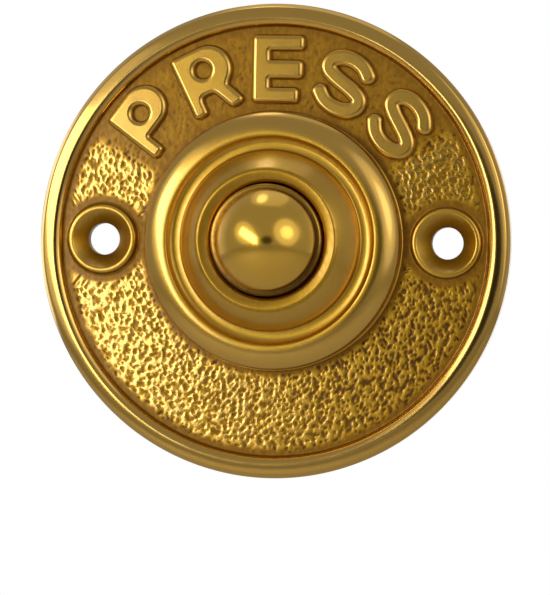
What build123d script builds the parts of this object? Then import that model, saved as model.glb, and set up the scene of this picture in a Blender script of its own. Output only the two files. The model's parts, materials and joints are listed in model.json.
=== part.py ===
from build123d import *
import os

# Round cast-brass bell push for a door frame, in millimetres.
# The wall is the plane y = 0, the front faces -Y and +Z is up as it hangs.
# Heights below are measured out from the wall, so a negative height lies inside the wall.

# Plate: rim bead and sunk ground
plate_diameter = 64.0
rim_width = 3.0
rim_inner_round = 1.1  # also the rise of the rim over the ground
rim_outer_drop = 0.8  # rim's crest down to its side
rim_edge_round = 0.4
ground_height = 2.4
ground_wall = 1.6
edge_break = 0.4
wall_seat_width = 2.7

# Screw bosses
screw_hole_diameter = 4.3
countersink_angle = 90.0
boss_collar_gap = 1.4  # ground left between the collar and a boss
boss_rim_gap = 0.8  # ground left between a boss and the rim
boss_land = 0.6  # ring left between the countersink and the boss's side
boss_rise = 1.1
boss_round = 0.3

# Collar, from the button's hole outwards
hole_diameter = 15.8
lip_width = 1.5
lip_bevel = 0.4
lip_wall = 1.9  # metal over the button's flange
lip_rise = 3.2  # lip over the collar's crest
ring_wall = 2.5
ring_taper = 0.2
ring_fall = 0.93  # slope of the ring's top where it leaves the lip
ring_shoulder_drop = 3.0  # lip down to the end of the ring's sloping top
groove_floor_width = 0.8
groove_depth = 0.7  # crest down to the groove's floor
groove_wall = 2.1
cove_width = 0.8
crest_width = 0.7  # flat land between the cove and the collar's round
collar_round_width = 2.8
collar_side_height = 2.7
collar_rise = 4.0  # crest over the ground
collar_wall = 1.9

# Push button
button_travel = 2.0
button_clearance = 0.4
shoulder_width = 0.8
shoulder_round = 0.35
shoulder_stand = 0.4  # shoulder over the collar's lip
dome_stand = 0.4  # foot of the dome over the shoulder
dome_height = 4.6
flange_overlap = 1.4  # flange beyond the hole, which keeps the button in
flange_thickness = 1.4
flange_clearance = 0.4
stem_diameter = 4.4
stem_clearance = 0.3
tip_diameter = 4.0
tip_length = 1.8
tip_round = 0.5
spigot_diameter = 2.2
spigot_length = 2.0
bore_spare = 0.2
press_gap = 0.02  # between pieces that are pressed or screwed together

# Return spring
wire_diameter = 0.6
spring_diameter = 14.0  # at the middle of the wire
spring_turns = 3.5
spring_reserve = 0.3  # room left when the button is fully in
spring_guide_height = 0.8
spring_guide_clearance = 0.3
spring_seat_depth = 0.6

# Moulded switch base
base_clearance = 0.4
base_thickness = 2.6
base_edge_chamfer = 0.3
guard_wall = 1.2
guard_gap = 18.0  # opening between the two guard walls, over the base screws
guard_margin = 0.5
pad_length = 6.4
pad_rise = 1.0
rib_width = 0.9
rib_rise = 0.7
terminal_inset = 5.2  # base edge to terminal axis

# Pillars under the collar, and the screws that hold the base to them
pillar_diameter = 4.2
pillar_clearance = 0.9
base_screw_diameter = 2.5
base_screw_clearance = 0.2
base_screw_bite = 2.6  # length inside the pillar
base_head_diameter = 3.9
base_head_height = 1.5
base_head_round = 0.45
lock_washer_width = 0.55
lock_washer_thickness = 0.6
lock_washer_slit = 0.4

# Contacts
strip_width = 5.8
strip_clearance = 0.1
leaf_thickness = 0.25
leaf_tip_diameter = 3.8
tip_gap = 0.3  # stem's tip to the spring contact when the button is out
contact_offset = 3.4  # contact dimple beyond the stem's axis
dimple_diameter = 1.8
dimple_height = 0.35
dimple_taper = 35.0
contact_margin = 0.05
fixed_thickness = 0.5
fixed_tip_diameter = 4.4
bend_radius = 0.3
riser_clearance = 0.2  # terminal washer to the bend

# Terminals
terminal_diameter = 3.0
terminal_hole_clearance = 0.15
terminal_head_diameter = 5.2
terminal_head_height = 1.8
terminal_head_round = 0.25
slot_width = 0.8
slot_depth_share = 0.5  # of the head's height
insert_diameter = 4.4
insert_cover = 0.5  # base left between an insert and the spring's seat
terminal_washer_diameter = 5.4
terminal_washer_thickness = 0.6
washer_chamfer = 0.15

# Radii worked out from the sizes above
plate_radius = plate_diameter / 2
rim_crest_radius = plate_radius - (rim_width - rim_inner_round)
ground_radius = plate_radius - rim_width
wall_seat_radius = plate_radius - edge_break - wall_seat_width
hole_radius = hole_diameter / 2
lip_radius = hole_radius + lip_width
flange_radius = hole_radius + flange_overlap
throat_radius = flange_radius + flange_clearance
ring_radius = throat_radius + ring_wall
groove_radius = ring_radius + groove_floor_width
crest_edge_radius = groove_radius + cove_width
crest_radius = crest_edge_radius + crest_width
collar_radius = crest_radius + collar_round_width
boss_radius = (ground_radius - collar_radius - boss_collar_gap - boss_rim_gap) / 2
countersink_radius = boss_radius - boss_land
screw_offset = collar_radius + boss_collar_gap + boss_radius
cavity_radius = collar_radius - collar_wall
body_radius = hole_radius - button_clearance
dome_radius = body_radius - shoulder_width
stem_radius = stem_diameter / 2
spring_radius = spring_diameter / 2
wire_radius = wire_diameter / 2
spring_guide_radius = spring_radius - wire_radius - spring_guide_clearance
spring_seat_clearance = spring_guide_clearance
base_radius = cavity_radius - base_clearance
pillar_radius = pillar_diameter / 2
pillar_offset = throat_radius + pillar_clearance + pillar_radius
terminal_offset = base_radius - terminal_inset
strip_hole_radius = terminal_diameter / 2 + terminal_hole_clearance
fixed_end = terminal_offset + pad_length / 2
fixed_reach = contact_offset - fixed_tip_diameter / 2
bend_end = terminal_offset - terminal_washer_diameter / 2 - riser_clearance
riser_offset = bend_end - bend_radius - fixed_thickness

# Heights worked out from the sizes above
ground_back = ground_height - ground_wall
rim_crest_height = ground_height + rim_inner_round
boss_height = ground_height + boss_rise
crest_height = ground_height + collar_rise
groove_height = crest_height - groove_depth
lip_height = crest_height + lip_rise
stop_height = lip_height - lip_wall
cavity_height = groove_height - groove_wall
shoulder_height = lip_height + shoulder_stand
dome_foot_height = shoulder_height + dome_stand
dome_top_height = dome_foot_height + dome_height
flange_back = stop_height - flange_thickness
spring_room = (spring_turns + 1) * wire_diameter + button_travel + spring_reserve
spring_seat_height = flange_back - spring_room
base_front = spring_seat_height + spring_seat_depth
base_back = base_front - base_thickness
pad_face = base_back - pad_rise
leaf_back = pad_face - leaf_thickness
insert_length = spring_seat_height - insert_cover - pad_face
tip_end = pad_face + tip_gap
stem_end = tip_end + tip_length
fixed_front = leaf_back - dimple_height - button_travel - contact_margin
guard_back = fixed_front - fixed_thickness - guard_margin

# The wall plane looks out to the front, the rear plane looks back into the wall,
# and on the section plane a sketch's x is the radius and its y the height
wall = Plane.XZ
rear = Plane(origin=(0, 0, 0), x_dir=(-1, 0, 0), z_dir=(0, 1, 0))
section = Plane(origin=(0, 0, 0), x_dir=(1, 0, 0), z_dir=(0, 0, -1))
os.makedirs("parts", exist_ok=True)


def save(piece, name):
    piece.part.label = name
    export_step(piece.part, f"parts/{name}.step")


# Plate, one casting: rim, ground, bosses, stepped collar, hollow back and two pillars
with BuildPart() as face_plate:
    with BuildSketch(section):
        with BuildLine():
            lip = Polyline(
                (hole_radius, stop_height),
                (hole_radius, lip_height - lip_bevel),
                (hole_radius + lip_bevel, lip_height - lip_bevel / 2),
                (lip_radius, lip_height),
            )
            ring_top = TangentArc(
                lip @ 1,
                (ring_radius - ring_taper, lip_height - ring_shoulder_drop),
                tangent=(1, -ring_fall),
            )
            groove = Polyline(ring_top @ 1, (ring_radius, groove_height), (groove_radius, groove_height))
            cove = TangentArc(groove @ 1, (crest_edge_radius, crest_height), tangent=(1, 0))
            crest = Line(cove @ 1, (crest_radius, crest_height))
            collar_round = TangentArc(
                crest @ 1, (collar_radius, ground_height + collar_side_height), tangent=(1, 0)
            )
            Polyline(collar_round @ 1, (collar_radius, ground_height), (ground_radius, ground_height))
            rim_inside = TangentArc(
                (ground_radius, ground_height), (rim_crest_radius, rim_crest_height), tangent=(0, 1)
            )
            rim_outside = TangentArc(
                rim_inside @ 1, (plate_radius, rim_crest_height - rim_outer_drop), tangent=(1, 0)
            )
            Polyline(
                rim_outside @ 1,
                (plate_radius, edge_break),
                (plate_radius - edge_break, 0),
                (wall_seat_radius, 0),
                (wall_seat_radius, ground_back),
                (cavity_radius, ground_back),
                (cavity_radius, cavity_height),
                (throat_radius, cavity_height),
                (throat_radius, stop_height),
                (hole_radius, stop_height),
            )
        make_face()
    revolve(axis=Axis.Y)
    plate_rims = face_plate.edges().filter_by(GeomType.CIRCLE)
    plate_rims = plate_rims.filter_by(lambda edge: abs(edge.radius - plate_radius) < press_gap)
    fillet(plate_rims.group_by(Axis.Y)[0], rim_edge_round)
    with BuildSketch(wall):
        with Locations((-screw_offset, 0), (screw_offset, 0)):
            Circle(boss_radius)
    extrude(amount=boss_height)
    boss_rims = face_plate.edges().filter_by(GeomType.CIRCLE)
    boss_rims = boss_rims.filter_by(lambda edge: abs(edge.radius - boss_radius) < press_gap)
    fillet(boss_rims.group_by(Axis.Y)[0], boss_round)
    with Locations(wall.offset(boss_height)):
        with Locations((-screw_offset, 0), (screw_offset, 0)):
            CounterSinkHole(
                screw_hole_diameter / 2, countersink_radius, counter_sink_angle=countersink_angle
            )
    with BuildSketch(wall.offset(base_front)):
        for side in (-1, 1):
            with Locations((0, side * pillar_offset)):
                Circle(pillar_radius)
            with Locations((0, side * (pillar_offset + cavity_radius + collar_wall / 2) / 2)):
                Rectangle(pillar_diameter, cavity_radius + collar_wall / 2 - pillar_offset)
    extrude(amount=cavity_height - base_front)
    with Locations(rear.offset(-base_front)):
        with Locations((0, -pillar_offset), (0, pillar_offset)):
            Hole(base_screw_diameter / 2 + press_gap, depth=base_screw_bite)
save(face_plate, "face_plate")

# Button, turned from bar: dome, shoulder, body, retaining flange, spring guide and bored stem
with BuildPart() as push_button:
    with BuildSketch(section):
        with BuildLine():
            dome = TangentArc((0, dome_top_height), (dome_radius, dome_foot_height), tangent=(1, 0))
            shoulder = Polyline(
                dome @ 1, (dome_radius, shoulder_height), (body_radius - shoulder_round, shoulder_height)
            )
            shoulder_edge = TangentArc(
                shoulder @ 1, (body_radius, shoulder_height - shoulder_round), tangent=(1, 0)
            )
            Polyline(
                shoulder_edge @ 1,
                (body_radius, stop_height),
                (flange_radius, stop_height),
                (flange_radius, flange_back),
                (spring_guide_radius, flange_back),
                (spring_guide_radius, flange_back - spring_guide_height),
                (stem_radius, flange_back - spring_guide_height),
                (stem_radius, stem_end),
                (spigot_diameter / 2 + press_gap, stem_end),
                (spigot_diameter / 2 + press_gap, stem_end + spigot_length + bore_spare),
                (0, stem_end + spigot_length + bore_spare),
                (0, dome_top_height),
            )
        make_face()
    revolve(axis=Axis.Y)
save(push_button, "push_button")

# Insulating tip pressed into the stem, so that no current reaches the button
with BuildPart() as stem_tip:
    with BuildSketch(section):
        with BuildLine():
            tip_side = Polyline(
                (0, stem_end + spigot_length),
                (spigot_diameter / 2, stem_end + spigot_length),
                (spigot_diameter / 2, stem_end),
                (tip_diameter / 2, stem_end),
                (tip_diameter / 2, tip_end + tip_round),
            )
            tip_corner = TangentArc(
                tip_side @ 1, (tip_diameter / 2 - tip_round, tip_end), tangent=(0, -1)
            )
            Polyline(tip_corner @ 1, (0, tip_end), (0, stem_end + spigot_length))
        make_face()
    revolve(axis=Axis.Y)
save(stem_tip, "stem_tip")

# Return spring between the base's seat and the button's flange
with BuildPart() as return_spring:
    with BuildLine() as coil:
        Helix(
            pitch=(spring_room - wire_diameter) / spring_turns,
            height=spring_room - wire_diameter,
            radius=spring_radius,
            center=(0, -spring_seat_height - wire_radius, 0),
            direction=(0, -1, 0),
        )
    with BuildSketch(Plane(origin=coil.line @ 0, z_dir=coil.line % 0)):
        with BuildLine():
            for start_angle in (0, 90, 180, 270):
                CenterArc((0, 0), wire_radius, start_angle, 90)
        make_face()
    sweep(path=coil.line, is_frenet=True)
save(return_spring, "return_spring")

# Moulded base: disc, spring seat, ribbed terminal pads and two guard walls
with BuildPart() as switch_base:
    with BuildSketch(rear.offset(-base_front)):
        Circle(base_radius)
    extrude(amount=base_thickness)
    with BuildSketch(rear.offset(-base_back)):
        Circle(base_radius)
        Circle(base_radius - guard_wall, mode=Mode.SUBTRACT)
        Rectangle(guard_gap, plate_diameter, mode=Mode.SUBTRACT)
    extrude(amount=base_back - guard_back)
    with BuildSketch(rear.offset(-base_back)):
        with Locations((-terminal_offset, 0), (terminal_offset, 0)):
            Rectangle(pad_length, strip_width + 2 * strip_clearance + 2 * rib_width)
    extrude(amount=pad_rise + rib_rise)
    with BuildSketch(rear.offset(-pad_face)):
        with Locations((-terminal_offset, 0), (terminal_offset, 0)):
            Rectangle(pad_length, strip_width + 2 * strip_clearance)
    extrude(amount=rib_rise, mode=Mode.SUBTRACT)
    chamfer(switch_base.faces().sort_by(Axis.Y)[0].edges(), base_edge_chamfer)
    with BuildSketch(wall.offset(base_front)):
        Circle(spring_radius + wire_radius + spring_seat_clearance)
        Circle(spring_radius - wire_radius - spring_seat_clearance, mode=Mode.SUBTRACT)
    extrude(amount=-spring_seat_depth, mode=Mode.SUBTRACT)
    with Locations(rear.offset(-base_back)):
        Hole(stem_radius + stem_clearance)
        with Locations((0, -pillar_offset), (0, pillar_offset)):
            Hole(base_screw_diameter / 2 + base_screw_clearance)
    with Locations(rear.offset(-pad_face)):
        with Locations((-terminal_offset, 0), (terminal_offset, 0)):
            Hole(insert_diameter / 2 + press_gap, depth=insert_length)
save(switch_base, "switch_base")

# Spring contact: a flat leaf from the left terminal across the stem, with a coined dimple
with BuildPart() as spring_contact:
    with BuildSketch(wall.offset(pad_face)):
        with Locations((-terminal_offset, 0)):
            Rectangle(pad_length, strip_width)
        with Locations((contact_offset, 0)):
            Circle(leaf_tip_diameter / 2)
        make_hull()
        with Locations((-terminal_offset, 0)):
            Circle(strip_hole_radius, mode=Mode.SUBTRACT)
    extrude(amount=-leaf_thickness)
    with BuildSketch(wall.offset(leaf_back)):
        with Locations((contact_offset, 0)):
            Circle(dimple_diameter / 2)
    extrude(amount=-dimple_height, taper=dimple_taper)
    with BuildSketch(wall.offset(pad_face)):
        with Locations((contact_offset, 0)):
            Circle(dimple_diameter / 2)
    extrude(amount=-dimple_height, taper=dimple_taper, mode=Mode.SUBTRACT)
save(spring_contact, "spring_contact")

# Fixed contact: a strip from the right terminal, stepped back to stand behind the dimple
with BuildPart() as fixed_contact:
    with BuildSketch(section):
        with BuildLine():
            bend_front = FilletPolyline(
                (fixed_end, pad_face),
                (riser_offset, pad_face),
                (riser_offset, fixed_front),
                (fixed_reach, fixed_front),
                radius=[bend_radius + fixed_thickness, bend_radius],
            )
            bend_back = FilletPolyline(
                (fixed_reach, fixed_front - fixed_thickness),
                (riser_offset + fixed_thickness, fixed_front - fixed_thickness),
                (riser_offset + fixed_thickness, pad_face - fixed_thickness),
                (fixed_end, pad_face - fixed_thickness),
                radius=[bend_radius + fixed_thickness, bend_radius],
            )
            Line(bend_front @ 1, bend_back @ 0)
            Line(bend_back @ 1, bend_front @ 0)
        make_face()
    extrude(amount=strip_width / 2, both=True)
    with BuildSketch(wall.offset(pad_face)):
        with Locations((terminal_offset, 0)):
            Rectangle(pad_length, strip_width)
        with Locations((contact_offset, 0)):
            Circle(fixed_tip_diameter / 2)
        make_hull()
        with Locations((terminal_offset, 0)):
            Circle(strip_hole_radius, mode=Mode.SUBTRACT)
    extrude(amount=guard_back - pad_face, mode=Mode.INTERSECT)
save(fixed_contact, "fixed_contact")

# Terminals: threaded insert, washer and slotted screw on each side
strip_thicknesses = {"left": leaf_thickness, "right": fixed_thickness}
for side, axis_x in (("left", -terminal_offset), ("right", terminal_offset)):
    washer_front = pad_face - strip_thicknesses[side]
    head_front = washer_front - terminal_washer_thickness
    with BuildPart() as terminal_insert:
        with BuildSketch(wall.offset(pad_face)):
            with Locations((axis_x, 0)):
                Circle(insert_diameter / 2)
                Circle(terminal_diameter / 2 + press_gap, mode=Mode.SUBTRACT)
        extrude(amount=insert_length)
    save(terminal_insert, f"terminal_insert_{side}")

    with BuildPart() as terminal_washer:
        with BuildSketch(wall.offset(washer_front)):
            with Locations((axis_x, 0)):
                Circle(terminal_washer_diameter / 2)
                Circle(strip_hole_radius, mode=Mode.SUBTRACT)
        extrude(amount=-terminal_washer_thickness)
        chamfer(terminal_washer.edges().group_by(Axis.Y)[-1].sort_by(SortBy.RADIUS)[-1], washer_chamfer)
    save(terminal_washer, f"terminal_washer_{side}")

    with BuildPart() as terminal_screw:
        with BuildSketch(wall.offset(head_front)):
            with Locations((axis_x, 0)):
                Circle(terminal_head_diameter / 2)
        extrude(amount=-terminal_head_height)
        fillet(terminal_screw.edges().group_by(Axis.Y)[-1], terminal_head_round)
        with BuildSketch(wall.offset(head_front)):
            with Locations((axis_x, 0)):
                Circle(terminal_diameter / 2)
        extrude(amount=pad_face - head_front + insert_length - bore_spare)
        with BuildSketch(wall.offset(head_front - terminal_head_height)):
            with Locations((axis_x, 0)):
                Rectangle(slot_width, terminal_head_diameter)
        extrude(amount=slot_depth_share * terminal_head_height, mode=Mode.SUBTRACT)
    save(terminal_screw, f"terminal_screw_{side}")

# Base screws with split lock washers, above and below the stem
for side, axis_z in (("bottom", -pillar_offset), ("top", pillar_offset)):
    head_front = base_back - lock_washer_thickness
    with BuildPart() as base_lock_washer:
        with BuildSketch(wall.offset(base_back)):
            with Locations((0, axis_z)):
                Circle(base_screw_diameter / 2 + base_screw_clearance + lock_washer_width)
                Circle(base_screw_diameter / 2 + base_screw_clearance, mode=Mode.SUBTRACT)
            with Locations((base_head_diameter / 2, axis_z)):
                Rectangle(base_head_diameter, lock_washer_slit, mode=Mode.SUBTRACT)
        extrude(amount=-lock_washer_thickness)
    save(base_lock_washer, f"base_lock_washer_{side}")

    with BuildPart() as base_screw:
        with BuildSketch(wall.offset(head_front)):
            with Locations((0, axis_z)):
                Circle(base_head_diameter / 2)
        extrude(amount=-base_head_height)
        fillet(base_screw.edges().group_by(Axis.Y)[-1], base_head_round)
        with BuildSketch(wall.offset(head_front)):
            with Locations((0, axis_z)):
                Circle(base_screw_diameter / 2)
        extrude(amount=base_front - head_front + base_screw_bite - bore_spare)
        with BuildSketch(wall.offset(head_front - base_head_height)):
            with Locations((0, axis_z)):
                Rectangle(base_head_diameter, slot_width)
        extrude(amount=slot_depth_share * base_head_height, mode=Mode.SUBTRACT)
    save(base_screw, f"base_screw_{side}")
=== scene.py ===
import json
import math

import bmesh
import bpy
import numpy as np
from mathutils import Matrix, Quaternion, Vector, noise


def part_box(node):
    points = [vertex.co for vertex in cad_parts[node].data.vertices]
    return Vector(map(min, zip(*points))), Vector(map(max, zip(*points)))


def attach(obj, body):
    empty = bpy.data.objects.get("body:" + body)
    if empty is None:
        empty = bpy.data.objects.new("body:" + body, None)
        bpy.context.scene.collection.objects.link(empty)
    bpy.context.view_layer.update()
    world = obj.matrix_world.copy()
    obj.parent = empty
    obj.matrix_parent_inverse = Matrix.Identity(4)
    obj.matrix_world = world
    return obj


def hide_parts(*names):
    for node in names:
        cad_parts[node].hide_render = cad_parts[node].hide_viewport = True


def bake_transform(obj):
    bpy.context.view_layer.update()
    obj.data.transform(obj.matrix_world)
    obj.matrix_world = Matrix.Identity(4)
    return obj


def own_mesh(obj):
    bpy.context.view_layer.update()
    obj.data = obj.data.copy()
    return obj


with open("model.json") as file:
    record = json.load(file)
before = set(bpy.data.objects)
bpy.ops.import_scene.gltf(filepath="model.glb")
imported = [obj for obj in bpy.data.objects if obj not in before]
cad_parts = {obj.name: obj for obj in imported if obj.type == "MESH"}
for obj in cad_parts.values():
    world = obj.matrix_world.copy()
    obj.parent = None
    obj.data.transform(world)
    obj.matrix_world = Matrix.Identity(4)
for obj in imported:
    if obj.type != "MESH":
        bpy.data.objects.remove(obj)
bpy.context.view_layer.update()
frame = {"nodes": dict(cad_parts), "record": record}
scene = bpy.context.scene
mm = 0.001  # piece sizes below are in millimetres, Blender's are in metres
print("frame loaded, nodes:", len(frame["nodes"]))


def boxOf(node):
    return [np.array(corner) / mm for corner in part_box(node)]


# Sizes that the frame gives. Heights are measured out from the wall, so a height h lies at y = -h.
plateRadius = boxOf("face_plate")[1][0]
lipHeight = -boxOf("face_plate")[0][1]
screwPattern = frame["record"]["mounts"][0]["dims"]
screwOffset = screwPattern["spacing_x_mm"] / 2
screwRadius = screwPattern["hole_r_mm"]


# Shapes

def arcPath(start, direction, end, steps):  # leaves start in this direction and ends at end
    start, end = np.array(start, float), np.array(end, float)
    ahead = np.array(direction, float) / math.hypot(*direction)
    side = np.array((-ahead[1], ahead[0]))
    chord = end - start
    sweep = 2 * math.atan2(chord @ side, chord @ ahead)
    radius = (chord @ chord) / (2 * chord @ side)
    turns = np.linspace(0, sweep, steps + 1)[:, None]
    return start + radius * (np.sin(turns) * ahead + (1 - np.cos(turns)) * side)


def roundPath(corners, steps=4):  # a corner's third number is the radius that rounds it
    path = []
    for i, corner in enumerate(corners):
        at = np.array(corner[:2], float)
        if len(corner) < 3:
            path.append(at)
            continue
        toLast = np.array(corners[i - 1][:2]) - at
        toNext = np.array(corners[(i + 1) % len(corners)][:2]) - at
        toLast, toNext = toLast / np.linalg.norm(toLast), toNext / np.linalg.norm(toNext)
        reach = corner[2] / math.tan(math.acos(toLast @ toNext) / 2)
        path.extend(arcPath(at + toLast * reach, -toLast, at + toNext * reach, steps))
    return np.array(path)


def fade(value, start, end):  # 0 at start, 1 at end, smooth between
    share = np.clip((value - start) / (end - start), 0, 1)
    return share * share * (3 - 2 * share)


def ripple(points, size, seed):  # smooth noise from -1 to 1 with waves of this size
    shift = Vector((seed, 2 * seed, 3 * seed))
    return np.array([noise.noise(Vector(p) / size + shift) for p in points])


class Skin:  # closed rings of points, joined into one surface
    def __init__(self):
        self.points, self.faces = [], []

    def ring(self, points):
        first = len(self.points)
        self.points.extend(np.asarray(points, float))
        return list(range(first, len(self.points)))

    def circle(self, radius, height, turns, centreX=0.0):  # turns is a list of angles, or their number
        turns = 2 * math.pi * np.arange(turns) / turns if isinstance(turns, int) else turns
        x, z = centreX + radius * np.cos(turns), radius * np.sin(turns)
        return self.ring(np.stack([x, np.full_like(x, -height), z], 1))

    def turnsOf(self, ring, centreX):
        spot = np.array([self.points[i] for i in ring])
        return np.arctan2(spot[:, 2], spot[:, 0] - centreX)

    def join(self, ringA, ringB, centreX=0.0, skip=()):  # rings run anticlockwise seen from the front
        countA, countB = len(ringA), len(ringB)
        if countA == countB:
            for k in range(countA):
                if k not in skip:
                    n = (k + 1) % countA
                    self.faces.append((ringA[k], ringA[n], ringB[n], ringB[k]))
            return
        turnsA, turnsB = (np.unwrap(self.turnsOf(r + r[:1], centreX)) for r in (ringA, ringB))
        a = b = 0
        while a < countA or b < countB:
            if b == countB or (a < countA and turnsA[a + 1] <= turnsB[b + 1]):
                self.faces.append((ringA[a], ringA[(a + 1) % countA], ringB[b % countB]))
                a += 1
            else:
                self.faces.append((ringA[a % countA], ringB[(b + 1) % countB], ringB[b]))
                b += 1

    def lathe(self, profile, segments):
        rings = [self.circle(radius, height, segments) for radius, height in profile]
        for ringA, ringB in zip(rings, rings[1:]):
            self.join(ringA, ringB)
        return rings

    def close(self, ring, point, facesFront):
        tip = self.ring([point])[0]
        for k in range(len(ring)):
            pair = (ring[k], ring[(k + 1) % len(ring)])
            self.faces.append((*pair, tip) if facesFront else (*pair[::-1], tip))


def makePiece(name, points, faces, slot, body, **layers):  # a layer has one value per point
    used = sorted({i for face in faces for i in face})
    place = {old: new for new, old in enumerate(used)}
    faceList = [[place[i] for i in face] for face in faces]
    mesh = bpy.data.meshes.new(name)
    mesh.from_pydata((np.asarray(points)[used] * mm).tolist(), [], faceList)
    mesh.shade_smooth()
    mesh.materials.append(finishes[slot])
    for key, values in layers.items():
        layer = mesh.attributes.new(key, "FLOAT", "POINT")
        layer.data.foreach_set("value", np.clip(values[used], 0, 1).astype(np.float32))
    piece = bpy.data.objects.new(name, mesh)
    scene.collection.objects.link(piece)
    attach(piece, body)
    return piece


# Materials

patina = dict(
    cloud=0.5, squeeze=0.6,  # size of its clouds in mm, and their scale up and down
    thick=1.1, thin=0.9,
    coatFrom=0.15, coatTo=0.5, coat=0.8, lastCoat=0.1,  # the lacquer is gone where the film lies, over patina and painted shade alike
)
castFinish = dict(
    ramp=[(0.3, "#CA9B22"), (0.65, "#8C621A"), (1, "#50340C")],  # share of film, patina with painted shade, and the tint there
    glossy=0.14, dull=0.65,
    brush=0.25, brushRelief=0.0015, brushScale=0.2,  # strokes run up and down, coarser than real ones
    pecks=0.35, pecksRelief=0.014,
    swell=5.0, swellRelief=0.04,
)
turnedFinish = dict(
    # film tints: patina, and near black at the end for the painted shade at the dome's foot
    ramp=[(0, "#DAAA34"), (0.6, "#7E5A20"), (1, "#2E1E0A")],
    glossy=0.18, dull=0.4,
    rings=0.12, ringRelief=0.002,
)


def toLinear(hexColour):
    shares = [int(hexColour[i:i + 2], 16) / 255 for i in (1, 3, 5)]
    return [s / 12.92 if s <= 0.04045 else ((s + 0.055) / 1.055) ** 2.4 for s in shares] + [1.0]


def addNode(tree, kind, inputs=None, **settings):  # an input is a value or another node's output
    node = tree.nodes.new(kind)
    for key, value in settings.items():
        setattr(node, key, value)
    for key, value in (inputs or {}).items():
        if isinstance(value, bpy.types.NodeSocket):
            tree.links.new(value, node.inputs[key])
        else:
            node.inputs[key].default_value = value
    return node


def newMaterial(name, **constants):
    material = bpy.data.materials.new(name)
    material.use_nodes = True
    tree = material.node_tree
    shader = tree.nodes["Principled BSDF"]
    for key, value in constants.items():
        shader.inputs[key.replace("_", " ")].default_value = value
    place = addNode(tree, "ShaderNodeTexCoord").outputs["Object"]
    return material, tree, shader, place


def shadeAndPatinaOn(tree, shader, place, finish):  # brown film where the mesh's layer lays patina and painted shade
    p = patina
    film = addNode(tree, "ShaderNodeAttribute", attribute_name="patina").outputs["Fac"]
    upright = addNode(tree, "ShaderNodeMapping", {"Vector": place, "Scale": (1, 1, p["squeeze"])})
    cloud = addNode(tree, "ShaderNodeTexNoise", {
        "Vector": upright.outputs[0], "Scale": 1 / (p["cloud"] * mm), "Detail": 5.0})
    patchy = addNode(tree, "ShaderNodeMapRange", {
        "Value": cloud.outputs["Fac"], "From Min": 0.3, "From Max": 0.7,
        "To Min": p["thick"], "To Max": p["thin"]})
    shadeAndStain = addNode(tree, "ShaderNodeMath", {
        0: film, 1: patchy.outputs[0]}, operation="MULTIPLY", use_clamp=True)
    tint = addNode(tree, "ShaderNodeValToRGB", {"Fac": shadeAndStain.outputs[0]})
    tint.color_ramp.elements.new(finish["ramp"][1][0])
    for stop, (share, colour) in zip(tint.color_ramp.elements, finish["ramp"]):
        stop.position, stop.color = share, toLinear(colour)
    gloss = addNode(tree, "ShaderNodeMapRange", {
        "Value": shadeAndStain.outputs[0], "To Min": finish["glossy"], "To Max": finish["dull"]})
    lacquer = addNode(tree, "ShaderNodeMapRange", {
        "Value": shadeAndStain.outputs[0], "From Min": p["coatFrom"], "From Max": p["coatTo"],
        "To Min": p["coat"], "To Max": p["lastCoat"]})
    tree.links.new(tint.outputs[0], shader.inputs["Base Color"])
    tree.links.new(gloss.outputs[0], shader.inputs["Roughness"])
    tree.links.new(lacquer.outputs[0], shader.inputs["Coat Weight"])


def castBrass():
    f = castFinish
    material, tree, shader, place = newMaterial(
        "cast_brass_hand_polished", Metallic=1.0,
        Coat_Roughness=0.15, Coat_IOR=1.85)  # old lacquer, whitens the highlights
    shadeAndPatinaOn(tree, shader, place, f)
    drawn = addNode(tree, "ShaderNodeMapping", {"Vector": place, "Scale": (1, 1, f["brushScale"])})
    brush = addNode(tree, "ShaderNodeTexNoise", {
        "Vector": drawn.outputs[0], "Scale": 1 / (f["brush"] * mm), "Detail": 3.0})
    swell = addNode(tree, "ShaderNodeTexNoise", {
        "Vector": place, "Scale": 1 / (f["swell"] * mm), "Detail": 1.0})
    pecks = addNode(tree, "ShaderNodeTexNoise", {
        "Vector": place, "Scale": 1 / (f["pecks"] * mm), "Detail": 2.0})
    punched = addNode(tree, "ShaderNodeAttribute", attribute_name="grain").outputs["Fac"]
    grain = addNode(tree, "ShaderNodeMath", {0: pecks.outputs["Fac"], 1: punched}, operation="MULTIPLY")
    grain = addNode(tree, "ShaderNodeMath", {
        0: grain.outputs[0], 1: f["pecksRelief"]}, operation="MULTIPLY")
    marks = addNode(tree, "ShaderNodeMath", {
        0: brush.outputs["Fac"], 1: f["brushRelief"], 2: grain.outputs[0]}, operation="MULTIPLY_ADD")
    relief = addNode(tree, "ShaderNodeMath", {
        0: swell.outputs["Fac"], 1: f["swellRelief"], 2: marks.outputs[0]}, operation="MULTIPLY_ADD")
    bump = addNode(tree, "ShaderNodeBump", {
        "Height": relief.outputs[0], "Distance": mm, "Strength": 1.0})
    tree.links.new(bump.outputs[0], shader.inputs["Normal"])
    return material


def turnedBrass():
    f = turnedFinish
    material, tree, shader, place = newMaterial(
        "turned_brass_buffed", Metallic=1.0,
        Coat_Roughness=0.1)  # lacquered like the plate
    shadeAndPatinaOn(tree, shader, place, f)
    across = addNode(tree, "ShaderNodeVectorMath", {0: place, 1: (1, 0, 1)}, operation="MULTIPLY")
    away = addNode(tree, "ShaderNodeVectorMath", {0: across.outputs[0]}, operation="LENGTH")
    rings = addNode(tree, "ShaderNodeTexNoise", {
        "W": away.outputs["Value"], "Scale": 1 / (f["rings"] * mm)}, noise_dimensions="1D")
    bump = addNode(tree, "ShaderNodeBump", {
        "Height": rings.outputs["Fac"], "Distance": f["ringRelief"] * mm, "Strength": 1.0})
    tree.links.new(bump.outputs[0], shader.inputs["Normal"])
    return material


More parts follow.
